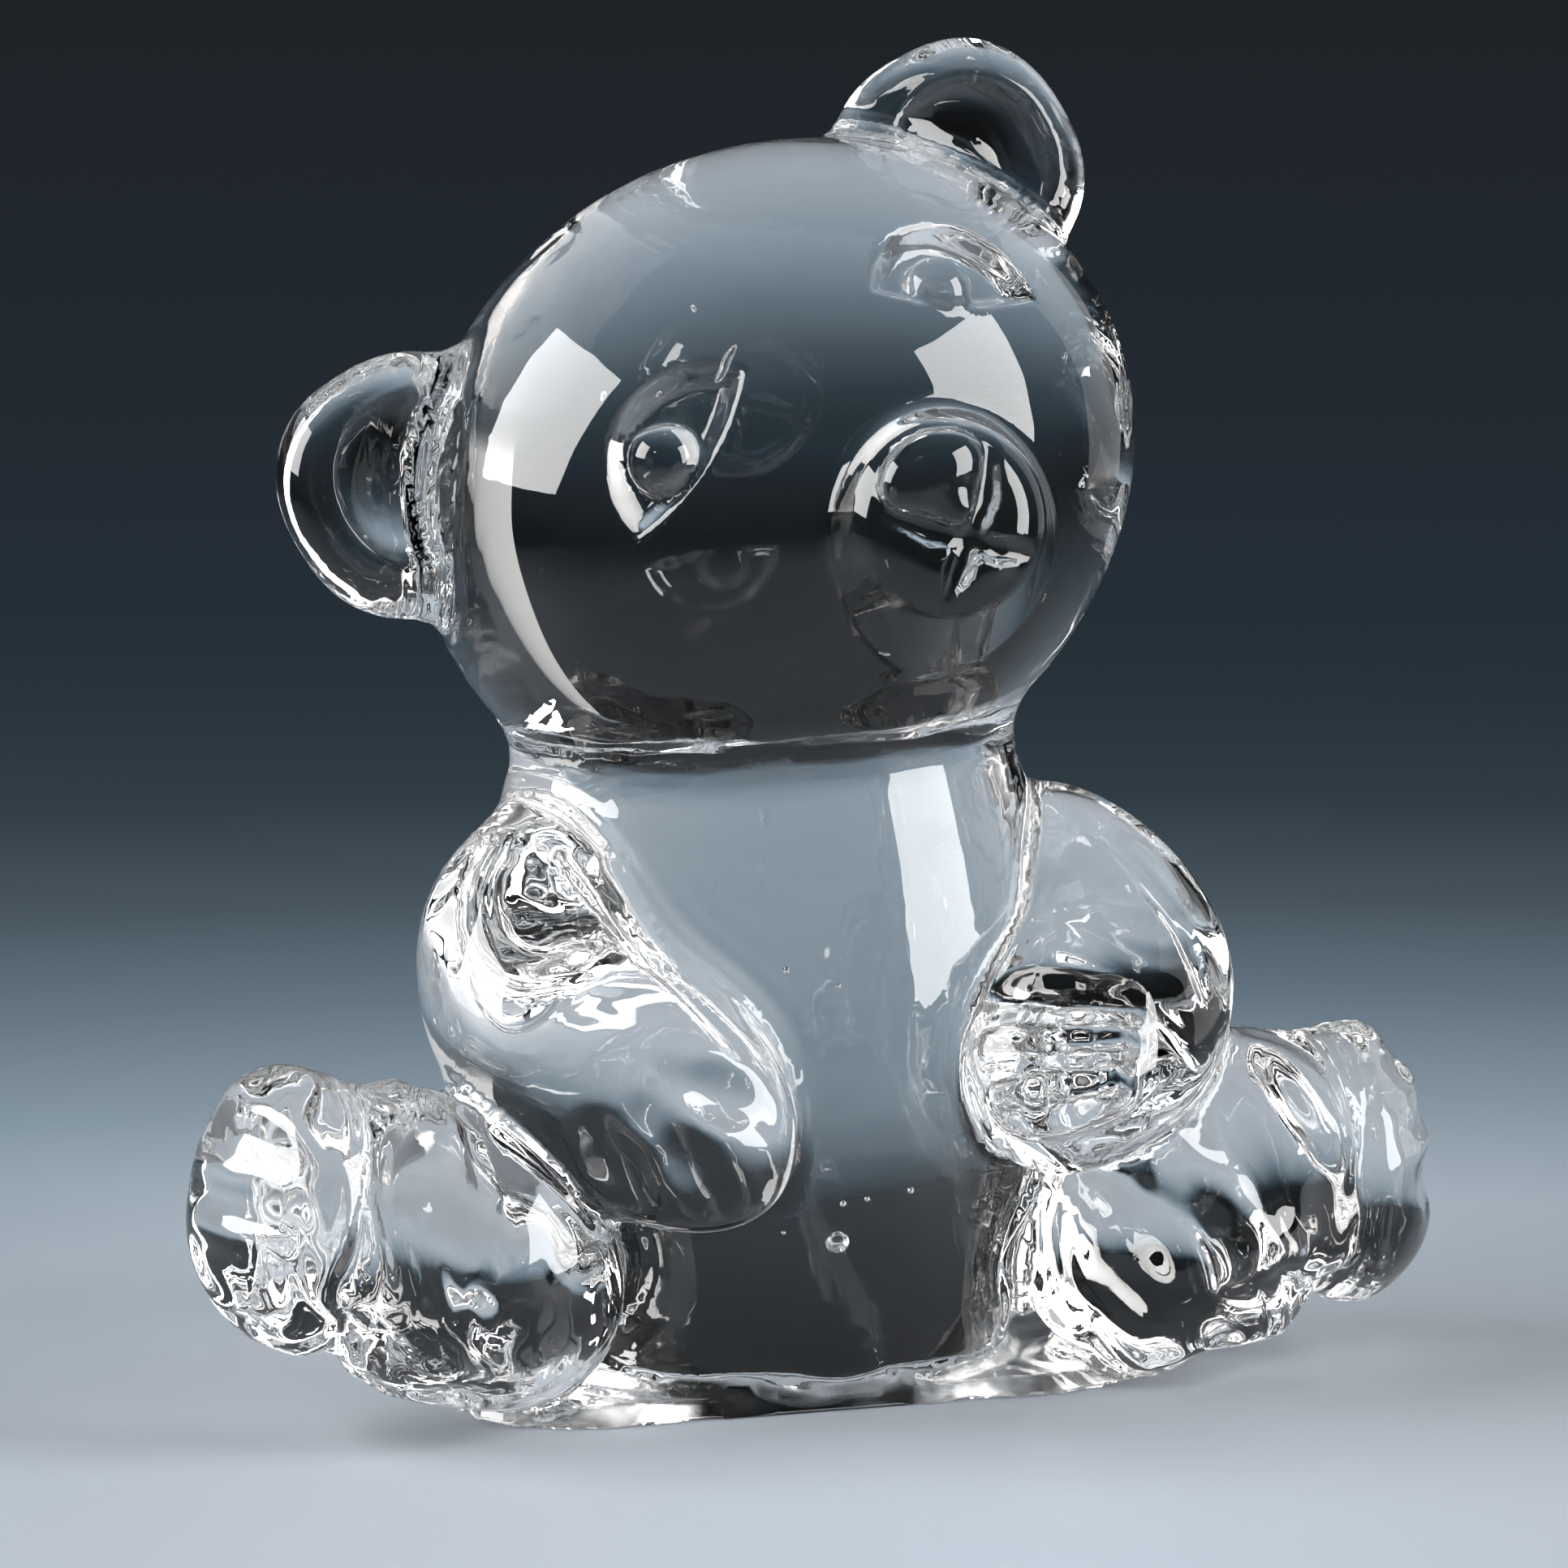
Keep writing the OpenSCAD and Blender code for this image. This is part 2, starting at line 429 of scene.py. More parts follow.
FAR = 9.0  # distance given to points that no gather is near
REACH = 8.0  # how far past its CAD box a gather is worked out
MARK_MARGIN = 2  # how far past a groove its rounded edge is worked out

GATHERS = [
    Gather("torso", torso),
    Gather("neck", neck, fillet=0.6),
    Gather("head", head, fillet=3.8, folds=0.02, pitch=1.8),
    Gather("base", base, fillet=2.2, folds=0.05, pitch=1.8),
    Gather("leg_right", lambda p: leg(p, RIGHT), fillet=4.0, folds=0.24, pitch=2.6, spread=3.0),
    Gather("leg_left", lambda p: leg(p, LEFT), fillet=4.0, folds=0.24, pitch=2.8, spread=3.0),
    Gather("foot_right", lambda p: foot(p, RIGHT), fillet=1.8, folds=0.24, pitch=2.8, spread=4.0),
    Gather("foot_left", lambda p: foot(p, LEFT), fillet=1.8, folds=0.12, pitch=2.8, spread=3.0),
    Gather("arm_right", lambda p: arm(p, RIGHT), fillet=3.0, folds=0.06, pitch=2.2),
    Gather("arm_left", lambda p: arm(p, LEFT), fillet=1.8, folds=0.04, pitch=2.4),
    Gather("ear_right", lambda p: ear(p, RIGHT), fillet=3.6, folds=0.08),
    Gather("ear_left", lambda p: ear(p, LEFT), fillet=3.6, folds=0.08),
    Gather("muzzle", muzzle, fillet=1.0),
    Gather("nose", nose, fillet=0.5),
    Gather("eye_right", lambda p: eye(p, RIGHT), fillet=0.6),
    Gather("eye_left", lambda p: eye(p, LEFT), fillet=0.6),
]


def near(p, low, high):
    """Which points are inside a box."""
    return ((p > low) & (p < high)).all(-1)


def folds(q, gap, gather):
    """Fine folds along a joint: a sine of the gap between the gather and the glass that was there
    before, which dies out as the gap grows. Two slow sines of the place make the lines wander."""
    wander = 1.6 * np.sin(0.45 * q[:, 0] + 0.3 * q[:, 2])
    wander += 1.2 * np.sin(0.5 * q[:, 1] - 0.4 * q[:, 2])
    fold = np.sin(2 * math.pi * gap / gather.pitch + wander) * np.exp(-gap / gather.spread)
    return gather.folds * fold


def cub(p):
    """Signed distance of points from the finished glass, and the number of the gather each is in."""
    skin = np.full(len(p), FAR)
    nearest = skin.copy()
    owner = np.zeros(len(p), np.int8)
    for number, gather in enumerate(GATHERS):
        here = np.flatnonzero(near(p, gather.low, gather.high))
        q = p[here]
        d = gather.form(q)
        before = skin[here]
        joined = melt(before, d, gather.fillet) if number else d
        if gather.folds:
            joined = joined + folds(q, np.abs(before - d), gather)
        skin[here] = joined
        closer = d < nearest[here]
        owner[here[closer]] = number
        nearest[here[closer]] = d[closer]
    for start, end, r0, r1, edge in MARKS:
        margin = max(r0, r1) + MARK_MARGIN
        low, high = np.minimum(start, end) - margin, np.maximum(start, end) + margin
        here = np.flatnonzero(near(p, low, high))
        skin[here] = press(skin[here], groove(p[here], start, end, r0, r1), edge)
    return np.maximum(skin, -p[:, 2]), owner


def path(places, radii, edge):
    """Grooves end to end along a list of places, with the radius given at each place."""
    return [(a, b, r, s, edge) for a, b, r, s in zip(places, places[1:], radii, radii[1:])]


def lay(form, place, lift):
    """The place moved onto a form's surface, or a height above it, by Newton's steps along the
    form's slope."""
    e, steps = 0.01, 6
    nudges = np.concatenate([np.eye(3), -np.eye(3)]) * e
    for _ in range(steps):
        d = form(place[None])[0]
        ahead, behind = form(place + nudges).reshape(2, 3)
        g = (ahead - behind) / (2 * e)
        place = place - (d - lift) * g / (g @ g)
    return place


MOUTH_MIDDLE = (0.7, -11.1)  # across and up, on the front of the muzzle
# Bend, end and radius of each line from the middle: two go up beside the nose, and two go down.
MOUTH_LINES = [
    ((3.9, -8.8), (6.2, -5.6), 1.0),
    ((-1.9, -9.0), (-4.2, -6.2), 1.0),
    ((-1.3, -12.9), (-3.2, -14.6), 1.2),
    ((2.6, -13.1), (5.0, -14.9), 1.1),
]
MOUTH_Y = -33.0  # about where the muzzle's front is; the lines are then laid on it
MOUTH_LIFT = 0.45
MOUTH_THIN = 0.7  # radius at a line's end, over the radius before it
MOUTH_EDGE = 0.6


def mouth_marks():
    """The crossed lines of the muzzle, pressed into its domed front, each thinner at its end."""
    marks = []
    for bend, end, r in MOUTH_LINES:
        places = [on_head(x, MOUTH_Y, z) for x, z in (MOUTH_MIDDLE, bend, end)]
        places = [lay(muzzle, place, MOUTH_LIFT) for place in places]
        marks += path(places, (r, r, MOUTH_THIN * r), MOUTH_EDGE)
    return marks


# Lines on the limbs, as fractions of the way across each limb's CAD box: the grooves between the
# fingers, the long lines drawn down the upper arm, and the notches between the toes.
PAW_LINES = {
    RIGHT: [
        ((0.56, 0.04, 0.45), (0.70, 0.01, 0.42), (0.84, 0.04, 0.36)),
        ((0.50, 0.04, 0.35), (0.60, 0.02, 0.24), (0.68, 0.03, 0.13)),
        ((0.36, 0.10, 0.30), (0.40, 0.09, 0.20), (0.47, 0.10, 0.12)),
    ],
    LEFT: [
        ((0.04, 0.20, 0.57), (0.20, 0.10, 0.56), (0.42, 0.06, 0.55)),
        ((0.02, 0.14, 0.42), (0.17, 0.04, 0.43), (0.38, 0.01, 0.44)),
        ((0.07, 0.09, 0.26), (0.18, 0.02, 0.28), (0.34, 0.00, 0.31)),
    ],
}
SLEEVE_LINES = {
    RIGHT: [
        ((0.42, 0.48, 0.97), (0.62, 0.27, 0.75), (0.80, 0.08, 0.52)),
        ((0.52, 0.44, 0.96), (0.72, 0.27, 0.76), (0.90, 0.12, 0.52)),
    ],
    LEFT: [
        ((0.60, 0.50, 0.95), (0.75, 0.32, 0.74), (0.78, 0.20, 0.52)),
    ],
}
TOE_LINES = {
    RIGHT: [
        ((0.04, 0.60, 0.84), (0.14, 0.25, 0.80), (0.36, 0.06, 0.74)),
        ((0.00, 0.50, 0.58), (0.08, 0.18, 0.57), (0.30, 0.02, 0.55)),
        ((0.02, 0.50, 0.32), (0.14, 0.18, 0.33), (0.34, 0.05, 0.37)),
    ],
    LEFT: [
        ((0.92, 0.55, 0.86), (0.80, 0.25, 0.82), (0.60, 0.10, 0.75)),
        ((1.00, 0.45, 0.62), (0.90, 0.18, 0.60), (0.74, 0.06, 0.56)),
        ((0.98, 0.50, 0.36), (0.88, 0.20, 0.36), (0.70, 0.06, 0.38)),
    ],
}


def drawn(kind, form, lines, lift, radii, edge):
    """Marks along lines on both sides' limbs of a kind, laid at a height above the limb's surface,
    with a radius for each of a line's three places."""
    marks = []
    for side in (RIGHT, LEFT):
        skin = functools.partial(form, side=side)
        for line in lines[side]:
            places = [lay(skin, place, lift) for place in limb_points(kind, side, line)]
            marks += path(places, radii, edge)
    return marks


MARKS = mouth_marks()
MARKS += drawn("arm", arm, PAW_LINES, lift=1.7, radii=(1.8, 2.3, 1.8), edge=2.4)
MARKS += drawn("arm", arm, SLEEVE_LINES, lift=1.2, radii=(1.2, 1.7, 1.2), edge=0.9)
MARKS += drawn("foot", foot, TOE_LINES, lift=2.3, radii=(2.6, 2.8, 2.3), edge=2.2)

# Seeds, the bubbles left in the glass: gather, place as fractions of its CAD box, half sizes, turn.
SEEDS = [
    ("torso", (0.49, 0.07, 0.27), (1.05, 0.95, 1.0), 0),
    ("torso", (0.50, 0.08, 0.34), (0.28, 0.28, 0.28), 0),
    ("torso", (0.54, 0.09, 0.345), (0.24, 0.24, 0.24), 0),
    ("torso", (0.61, 0.08, 0.355), (0.30, 0.30, 0.30), 0),
    ("torso", (0.41, 0.10, 0.29), (0.20, 0.20, 0.20), 0),
    ("torso", (0.41, 0.08, 0.77), (0.30, 0.28, 0.30), 0),
    ("torso", (0.50, 0.12, 0.73), (0.22, 0.22, 0.22), 0),
    ("head", (0.325, 0.125, 0.70), (0.42, 0.42, 1.7), 32),
    ("head", (0.18, 0.20, 0.65), (0.28, 0.28, 0.45), 20),
    ("head", (0.30, 0.19, 0.77), (0.22, 0.22, 0.40), -30),
    ("head", (0.24, 0.16, 0.66), (0.20, 0.20, 0.32), 45),
    ("head", (0.17, 0.51, 0.81), (0.30, 0.30, 0.85), 35),
    ("head", (0.53, 0.07, 0.30), (0.55, 0.20, 0.20), 0),
    ("head", (0.62, 0.40, 0.55), (0.22, 0.22, 0.22), 0),
    ("head", (0.40, 0.60, 0.48), (0.26, 0.26, 0.26), 0),
]


def seed(at, half, turn):
    """A bubble's wall: an ellipsoid as two angles on a grid, with its faces turned in towards the
    bubble, since the glass is outside it. Returns its points, normals and quads."""
    levels, sides = 9, 14
    up = np.linspace(0, math.pi, levels)
    round_ = np.linspace(0, 2 * math.pi, sides, endpoint=False)
    a, b = np.meshgrid(up, round_, indexing="ij")
    unit = np.stack([np.sin(a) * np.cos(b), np.sin(a) * np.sin(b), np.cos(a)], -1)[1:-1].reshape(-1, 3)
    unit = np.concatenate([unit, [[0, 0, 1], [0, 0, -1]]])
    spin = turned(y=turn)
    points = at + (unit * half) @ spin.T
    normals = -(unit / np.asarray(half)) @ spin.T
    normals /= np.linalg.norm(normals, axis=-1, keepdims=True)
    row = np.arange(levels - 3)[:, None] * sides
    col = np.arange(sides)[None]
    nxt = (col + 1) % sides
    quads = np.stack([row + col, row + nxt, row + sides + nxt, row + sides + col], -1).reshape(-1, 4)
    top, bottom = len(unit) - 2, len(unit) - 1
    last = (levels - 3) * sides
    caps = [[top, (i + 1) % sides, i] for i in range(sides)]
    caps += [[bottom, last + i, last + (i + 1) % sides] for i in range(sides)]
    return points, normals, quads.tolist() + caps


# ---------------------------------------------------------------------------------------------
# From the field to closed pieces
# ---------------------------------------------------------------------------------------------

CORNERS = np.array([(i, j, k) for i in (0, 1) for j in (0, 1) for k in (0, 1)])
EDGES = [(a, b) for a in range(8) for b in range(a + 1, 8) if abs(CORNERS[a] - CORNERS[b]).sum() == 1]


def grid():
    """The grid's lowest corner and its count of points along each axis, round the whole cub."""
    low, high = (np.array(c) / MM for c in cad_box)
    margin = 2.0
    offset = 0.37 * CELL  # keeps the grid's points off the round places that forms are cut at
    count = np.ceil((high - low + 2 * margin) / CELL).astype(int)
    return low - margin + offset, count


def worked_out(low, count):
    """The field and the owners on the whole grid, one slab of sheets after another."""
    field = np.empty(count, np.float32)
    owner = np.zeros(count, np.int8)
    y, z = (low[i] + CELL * np.arange(count[i]) for i in (1, 2))
    y, z = np.meshgrid(y, z, indexing="ij")
    slab = 16
    for first in range(0, count[0], slab):
        x = low[0] + CELL * np.arange(first, min(first + slab, count[0]))
        p = np.empty((len(x),) + y.shape + (3,))
        p[..., 0] = x[:, None, None]
        p[..., 1] = y
        p[..., 2] = z
        d, who = cub(p.reshape(-1, 3))
        field[first:first + slab] = d.reshape(p.shape[:-1])
        owner[first:first + slab] = np.where(d < 0, who + 1, 0).reshape(p.shape[:-1])
    return field, owner


SKIN_STEPS = 3  # Newton's steps of the outer vertices
LONGEST_STEP = 0.5 * CELL
LEAST_SLOPE = 0.05  # squared slope that a step divides by at least, so that none runs away
SEAM_STEPS = 12  # rounds of relaxing on the seams


def slope(p):
    """Gradient of the field at points, by central differences."""
    e = 0.03
    return np.stack([(cub(p + e * v)[0] - cub(p - e * v)[0]) / (2 * e) for v in np.eye(3)], -1)


def net(field, owner, low):
    """Surface nets with owners: one vertex in each cell whose corners have different owners, at the
    mean of the places where its edges cross from one owner to another, and one quad for each grid
    edge whose ends differ. Returns the vertices, which of them are beside the air, and the quads,
    each with the owners below and above it."""
    n = np.array(owner.shape) - 1
    mixed = np.zeros(n, bool)
    first = owner[:-1, :-1, :-1]
    for i, j, k in CORNERS[1:]:
        mixed |= owner[i:i + n[0], j:j + n[1], k:k + n[2]] != first
    cells = np.argwhere(mixed)
    number = np.full(mixed.shape, -1, np.int32)
    number[tuple(cells.T)] = np.arange(len(cells))
    at = [tuple((cells + c).T) for c in CORNERS]
    own = np.stack([owner[a] for a in at], -1)
    val = np.stack([field[a] for a in at], -1).astype(float)
    outer = (own == 0).any(-1)
    total = np.zeros((len(cells), 3))
    count = np.zeros(len(cells))
    for a, b in EDGES:
        air = (own[:, a] == 0) != (own[:, b] == 0)
        cross = np.where(outer, air, own[:, a] != own[:, b])
        gap = val[:, a] - val[:, b]
        t = np.where(air, val[:, a] / np.where(gap == 0, 1, gap), 0.5)
        place = CORNERS[a] + t[:, None] * (CORNERS[b] - CORNERS[a])
        total += place * cross[:, None]
        count += cross
    points = low + CELL * (cells + total / np.maximum(count, 1)[:, None])
    quads = []
    for axis in range(3):
        u, v = (axis + 1) % 3, (axis + 2) % 3
        lower = np.take(owner, range(owner.shape[axis] - 1), axis)
        upper = np.take(owner, range(1, owner.shape[axis]), axis)
        edge = np.argwhere(lower != upper)
        inside = (edge[:, u] > 0) & (edge[:, v] > 0)
        inside &= (edge[:, u] < mixed.shape[u]) & (edge[:, v] < mixed.shape[v])
        edge = edge[inside]
        ring = []
        for du, dv in ((-1, -1), (0, -1), (0, 0), (-1, 0)):
            c = edge.copy()
            c[:, u] += du
            c[:, v] += dv
            ring.append(number[tuple(c.T)])
        quads.append(np.column_stack(ring + [lower[tuple(edge.T)], upper[tuple(edge.T)]]))
    return points, outer, np.concatenate(quads)


def settle(points, outer, quads):
    """Moves outer vertices onto the surface by Newton's steps along the slope, and relaxes the
    vertices of the inner seams towards the mean of their neighbours."""
    skin = points[outer]
    for _ in range(SKIN_STEPS):
        d = cub(skin)[0]
        g = slope(skin)
        move = d[:, None] * g / np.maximum(np.sum(g * g, -1), LEAST_SLOPE)[:, None]
        far = np.linalg.norm(move, axis=-1, keepdims=True)
        skin = skin - move * np.minimum(1, LONGEST_STEP / np.maximum(far, 1e-9))
    points[outer] = skin
    ring = quads[:, :4]
    a = np.concatenate([ring[:, i] for i in range(4)])
    b = np.concatenate([ring[:, (i + 1) % 4] for i in range(4)])
    inner = ~outer
    for _ in range(SEAM_STEPS):
        total = np.stack([
            np.bincount(a, points[b, i], len(points)) + np.bincount(b, points[a, i], len(points))
            for i in range(3)
        ], -1)
        count = np.bincount(a, minlength=len(points)) + np.bincount(b, minlength=len(points))
        mean = total / np.maximum(count, 1)[:, None]
        points[inner] = mean[inner]
    normals = np.zeros_like(points)
    normals[outer] = slope(points[outer])
    normals[inner] = (0, 0, 1)
    return points, normals / np.maximum(np.linalg.norm(normals, axis=-1, keepdims=True), 1e-9)


def piece_mesh(name, points, normals, quads, look):
    """A mesh of the used points with its own smooth normals, one material number per face, and the
    walls of the seeds that are in it."""
    used, ring = np.unique(quads, return_inverse=True)
    faces = ring.reshape(quads.shape).tolist()
    points, normals, look = points[used], normals[used], look.tolist()
    for node, place, half, turn in SEEDS:
        if node == name:
            more, facing, walls = seed(spot(node, *place), half, turn)
            faces += [[i + len(points) for i in wall] for wall in walls]
            points, normals = np.concatenate([points, more]), np.concatenate([normals, facing])
            look += [SKIN] * len(walls)
    mesh = bpy.data.meshes.new(name + "_glass")
    mesh.from_pydata((points * MM).tolist(), [], faces)
    mesh.polygons.foreach_set("material_index", look)
    mesh.polygons.foreach_set("use_smooth", [True] * len(faces))
    mesh.update()
    mesh.normals_split_custom_set_from_vertices(normals.tolist())
    return mesh


# ---------------------------------------------------------------------------------------------
# Materials
# ---------------------------------------------------------------------------------------------


def nodes_of(material):
    """A material's node tree and its main shader."""
    material.use_nodes = True
    tree = material.node_tree
    return tree, tree.nodes["Principled BSDF"]


def unevenness(tree, size, detail, height):
    """A bump from noise of about this size and height, in metres, on Object coordinates."""
    where = tree.nodes.new("ShaderNodeTexCoord")
    noise = tree.nodes.new("ShaderNodeTexNoise")
    noise.inputs["Scale"].default_value = 1 / size
    noise.inputs["Detail"].default_value = detail
    bump = tree.nodes.new("ShaderNodeBump")
    bump.inputs["Strength"].default_value = 1.0
    bump.inputs["Distance"].default_value = height
    tree.links.new(where.outputs["Object"], noise.inputs["Vector"])
    tree.links.new(noise.outputs["Fac"], bump.inputs["Height"])
    return bump, noise


def glass_look(name, colour, roughness):
    """Solid glass that bends light as lead crystal does, with its main shader to work on."""
    material = bpy.data.materials.new(name)
    tree, glass = nodes_of(material)
    glass.inputs["Base Color"].default_value = colour + (1,)
    glass.inputs["Roughness"].default_value = roughness
    glass.inputs["IOR"].default_value = CRYSTAL_IOR
    glass.inputs["Transmission Weight"].default_value = 1.0
    return material, tree, glass


def crystal():
    """Clear lead crystal, fire-polished, with the slight unevenness that the tools and the air
    leave on a surface as it sets."""
    tint = (0.992, 0.978, 0.962)
    material, tree, glass = glass_look("clear_lead_crystal", tint, roughness=0.0)
    bump, _ = unevenness(tree, size=0.009, detail=2.0, height=0.00007)
    tree.links.new(bump.outputs["Normal"], glass.inputs["Normal"])
    return material


def ground_foot():
    """The ground and polished underside, a little less clear than the rest, with fine scuffs."""
    tint = (0.97, 0.975, 0.98)
    material, tree, glass = glass_look("ground_underside", tint, roughness=0.05)
    bump, noise = unevenness(tree, size=0.0012, detail=6.0, height=0.00003)
    noise.inputs["Roughness"].default_value = 0.75
    tree.links.new(bump.outputs["Normal"], glass.inputs["Normal"])
    return material


def fused_seam():
    """Where two gathers have run together there is no surface to see."""
    material = bpy.data.materials.new("fused_seam")
    tree, glass = nodes_of(material)
    tree.nodes.remove(glass)
    clear = tree.nodes.new("ShaderNodeBsdfTransparent")
    tree.links.new(clear.outputs["BSDF"], tree.nodes["Material Output"].inputs["Surface"])
    return material


# ---------------------------------------------------------------------------------------------
# Assembly
# ---------------------------------------------------------------------------------------------


def build():
    """Works out the glass once, and cuts it into one closed piece for each gather."""
    low, count = grid()
    field, owner = worked_out(low, count)
    points, outer, quads = net(field, owner, low)
    points, normals = settle(points, outer, quads)
    finishes = [crystal(), fused_seam(), ground_foot()]
    for number, gather in enumerate(GATHERS, 1):
        below = quads[quads[:, 4] == number]
        above = quads[quads[:, 5] == number]
        faces = np.concatenate([below[:, :4], above[:, 3::-1]])
        joined = np.concatenate([below[:, 5], above[:, 4]]) > 0
        resting = points[faces, 2].max(-1) < UNDERSIDE
        look = np.where(joined, SEAM, np.where(resting, GROUND, SKIN))
        mesh = piece_mesh(gather.name, points, normals, faces, look)
        for finish in finishes:
            mesh.materials.append(finish)
        piece = bpy.data.objects.new(gather.name + "_glass", mesh)
        bpy.context.scene.collection.objects.link(piece)
        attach(piece, "root")
        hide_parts(gather.name)


# ---------------------------------------------------------------------------------------------
# Studio
# ---------------------------------------------------------------------------------------------

CAMERA_AZ, CAMERA_EL, CAMERA_FAR = -18.0, 8.5, 0.62
CAMERA_AIM = (0.00225, 0.0512)  # how far right of the origin and above it the view's middle is
FRAME_WIDE = 0.140  # width of the view at the object
SENSOR = 36
LIGHT_AIM = np.array([0, 0, 0.06])  # about the middle of the cub


def view_axes(azimuth, elevation):
    """Right, up and back vectors of a camera at these angles round the object."""
    a, e = math.radians(azimuth), math.radians(elevation)
    right = np.array([math.cos(a), math.sin(a), 0])
    back = np.array([math.sin(a) * math.cos(e), -math.cos(a) * math.cos(e), math.sin(e)])
    return right, np.cross(back, right), back


def look_along(obj, place, right, up, back):
    """Sets an object at a place with its own axes along right, up and back."""
    turn = Matrix(np.column_stack([right, up, back]).tolist()).to_4x4()
    obj.matrix_world = Matrix.Translation(place.tolist()) @ turn


def camera():
    """A camera whose lens makes the frame FRAME_WIDE wide at the object."""
    data = bpy.data.cameras.new("camera")
    data.sensor_width = SENSOR
    data.lens = data.sensor_width * CAMERA_FAR / FRAME_WIDE
    data.clip_start = 0.01
    obj = bpy.data.objects.new("camera", data)
    bpy.context.scene.collection.objects.link(obj)
    right, up, back = view_axes(CAMERA_AZ, CAMERA_EL)
    aim = right * CAMERA_AIM[0] + up * CAMERA_AIM[1]
    look_along(obj, aim + back * CAMERA_FAR, right, up, back)
    bpy.context.scene.camera = obj


def softbox(name, azimuth, elevation, far, wide, tall, glow):
    """A rectangular area light of a given radiance, aimed at the middle of the cub."""
    data = bpy.data.lights.new(name, "AREA")
    data.shape = "RECTANGLE"
    data.size = wide
    data.size_y = tall
    data.energy = glow * math.pi * wide * tall
    obj = bpy.data.objects.new(name, data)
    bpy.context.scene.collection.objects.link(obj)
    obj.visible_camera = False
    right, up, back = view_axes(azimuth, elevation)
    look_along(obj, LIGHT_AIM + back * far, right, up, back)


def srgb(r, g, b):
    """Linear colour from an sRGB colour in 0 to 255."""
    c = np.array([r, g, b]) / 255
    return tuple(np.where(c <= 0.04045, c / 12.92, ((c + 0.055) / 1.055) ** 2.4)) + (1.0,)


BACKDROP = [  # elevation of the view in degrees, and the backdrop's colour there
    (-90, (50, 60, 68)), (-12, (46, 57, 66)), (-8.5, (42, 53, 61)), (-7.0, (37, 47, 56)),
    (-5.0, (34, 41, 48)), (-2.0, (30, 35, 39)), (2, (22, 25, 27)), (12, (12, 13, 14)),
    (30, (10, 10, 11)), (90, (10, 10, 11)),
]
TABLE_PAINTED_POOL = [  # distance from the middle of the painted pool of light in metres, and the table's colour there, painted darker with distance to stand in for light falling off
    (0.00, (188, 198, 210)), (0.07, (180, 188, 197)), (0.15, (166, 178, 189)),
    (0.205, (135, 152, 165)), (0.265, (106, 123, 136)), (0.33, (80, 95, 106)),
    (0.415, (59, 74, 84)), (0.51, (55, 70, 80)),
]
TABLE_SPAN = 0.6  # distance that the table's painted pool-of-light ramp covers
PAINTED_POOL_AT = -0.08  # the painted pool of light's middle is a little in front of the cub
TABLE_R = 0.85
TABLE_SIDES = 96
TABLE_Z = -0.00008  # just under the cub, so that no two faces coincide
FADE_FROM, FADE_TO = 0.42, TABLE_R - 0.1  # where the table fades into the backdrop


def ramp(tree, stops, low, high):
    """A colour ramp over a value that goes from low to high, with stops given in that value."""
    span = tree.nodes.new("ShaderNodeMapRange")
    span.inputs["From Min"].default_value = low
    span.inputs["From Max"].default_value = high
    node = tree.nodes.new("ShaderNodeValToRGB")
    marks = node.color_ramp.elements
    while len(marks) < len(stops):
        marks.new(1.0)
    for mark, (value, _) in zip(marks, stops):
        mark.position = (value - low) / (high - low)
    for mark, (_, colour) in zip(marks, stops):
        mark.color = srgb(*colour)
    tree.links.new(span.outputs["Result"], node.inputs[0])
    return span.inputs["Value"], node.outputs["Color"]


def world():
    """A graduated backdrop by the angle above or below the horizon."""
    w = bpy.data.worlds.new("backdrop")
    bpy.context.scene.world = w
    w.use_nodes = True
    tree = w.node_tree
    where = tree.nodes.new("ShaderNodeTexCoord")
    split = tree.nodes.new("ShaderNodeSeparateXYZ")
    arc = tree.nodes.new("ShaderNodeMath")
    arc.operation = "ARCSINE"
    degrees = tree.nodes.new("ShaderNodeMath")
    degrees.operation = "DEGREES"
    value, colour = ramp(tree, BACKDROP, low=-90, high=90)
    tree.links.new(where.outputs["Generated"], split.inputs[0])
    tree.links.new(split.outputs["Z"], arc.inputs[0])
    tree.links.new(arc.outputs[0], degrees.inputs[0])
    tree.links.new(degrees.outputs[0], value)
    tree.links.new(colour, tree.nodes["Background"].inputs["Color"])


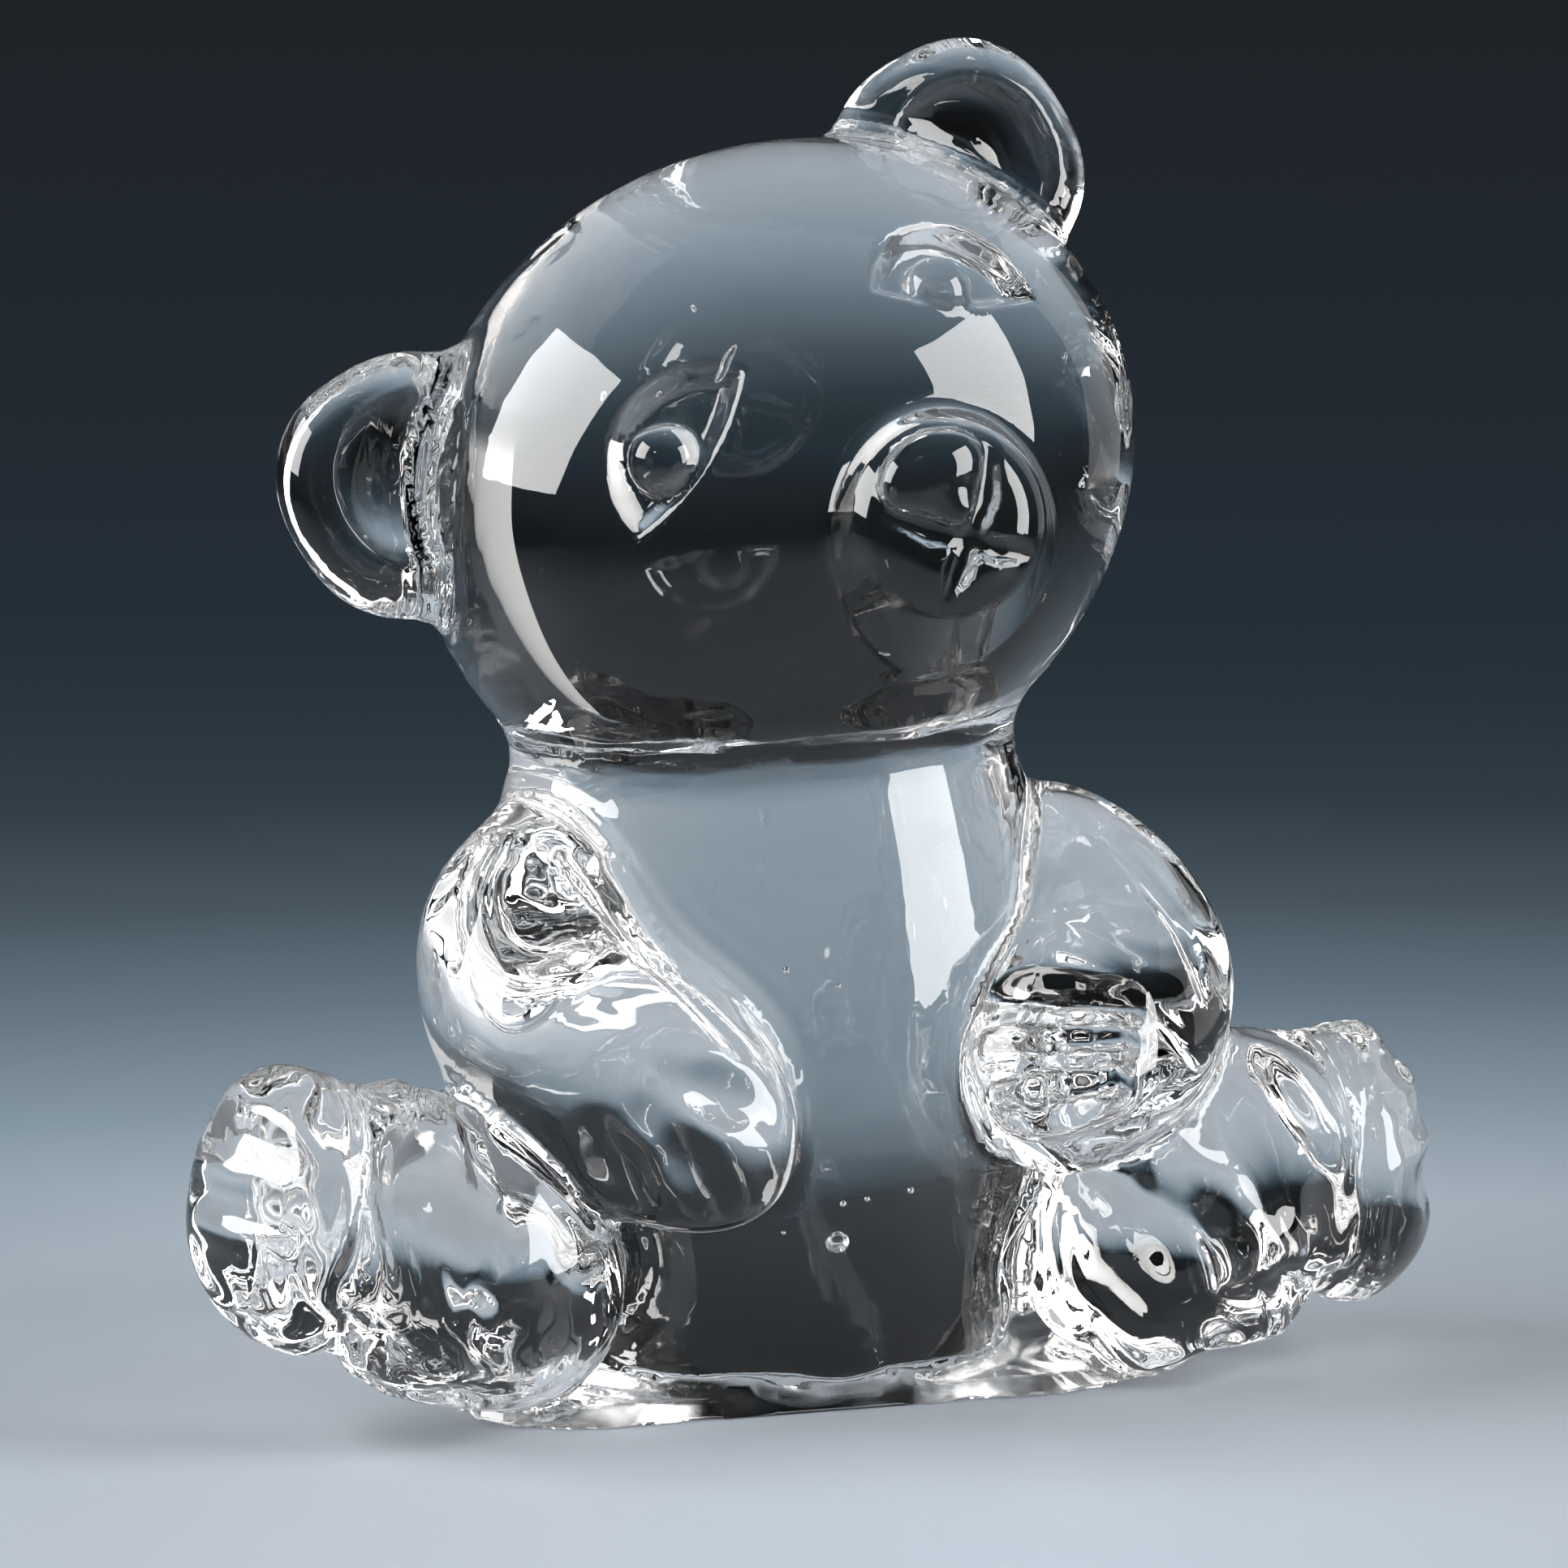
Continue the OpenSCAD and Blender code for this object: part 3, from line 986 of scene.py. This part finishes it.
def table():
    """A pale table lit by the lamps, whose colour is also a painted pool of light round the object,
    painted darker with distance, and which fades into the backdrop before its edge."""
    mesh = bpy.data.meshes.new("floor")
    turns = np.linspace(0, 2 * math.pi, TABLE_SIDES, endpoint=False)
    height = np.full(TABLE_SIDES, TABLE_Z)
    rim = np.column_stack([np.cos(turns) * TABLE_R, np.sin(turns) * TABLE_R, height])
    mesh.from_pydata(rim.tolist(), [], [list(range(TABLE_SIDES))])
    obj = bpy.data.objects.new("floor", mesh)
    bpy.context.scene.collection.objects.link(obj)
    material = bpy.data.materials.new("table_painted_pool")
    tree, paint = nodes_of(material)
    paint.inputs["Roughness"].default_value = 0.5
    paint.inputs["Specular IOR Level"].default_value = 0.15
    where = tree.nodes.new("ShaderNodeTexCoord")
    centre = tree.nodes.new("ShaderNodeMapping")
    centre.inputs["Location"].default_value = (0, -PAINTED_POOL_AT, 0)
    length = tree.nodes.new("ShaderNodeVectorMath")
    length.operation = "LENGTH"
    value, colour = ramp(tree, TABLE_PAINTED_POOL, low=0.0, high=TABLE_SPAN)
    fade = tree.nodes.new("ShaderNodeMapRange")
    fade.interpolation_type = "SMOOTHSTEP"
    fade.inputs["From Min"].default_value = FADE_FROM
    fade.inputs["From Max"].default_value = FADE_TO
    mix = tree.nodes.new("ShaderNodeMixShader")
    clear = tree.nodes.new("ShaderNodeBsdfTransparent")
    tree.links.new(where.outputs["Object"], centre.inputs["Vector"])
    tree.links.new(centre.outputs["Vector"], length.inputs[0])
    tree.links.new(length.outputs["Value"], value)
    tree.links.new(length.outputs["Value"], fade.inputs["Value"])
    # painted pool of light: the table's colour is painted darker with distance from the pool's middle,
    # on top of the lamps' own falloff
    tree.links.new(colour, paint.inputs["Base Color"])
    tree.links.new(fade.outputs["Result"], mix.inputs["Fac"])
    tree.links.new(paint.outputs[0], mix.inputs[1])
    tree.links.new(clear.outputs[0], mix.inputs[2])
    tree.links.new(mix.outputs[0], tree.nodes["Material Output"].inputs["Surface"])
    mesh.materials.append(material)


LIGHTS = {
    "left_softbox": {"azimuth": CAMERA_AZ - 80, "elevation": 27, "far": 0.70, "wide": 0.50,
                     "tall": 0.44, "glow": 11},
    "right_softbox": {"azimuth": CAMERA_AZ + 74, "elevation": 20, "far": 0.70, "wide": 0.38,
                      "tall": 0.56, "glow": 10},
    "white_card": {"azimuth": CAMERA_AZ + 128, "elevation": 14, "far": 0.80, "wide": 0.36,
                   "tall": 0.74, "glow": 0.66},
}


def studio():
    """The camera, the backdrop, the table and the lights, and enough bounces for solid glass."""
    camera()
    world()
    table()
    for name, light in LIGHTS.items():
        softbox(name, **light)
    cycles = bpy.context.scene.cycles
    cycles.max_bounces = 24
    cycles.transmission_bounces = 20
    cycles.glossy_bounces = 12
    cycles.transparent_max_bounces = 40
    bpy.context.scene.view_settings.view_transform = "Standard"


build()
studio()
bpy.context.view_layer.update()
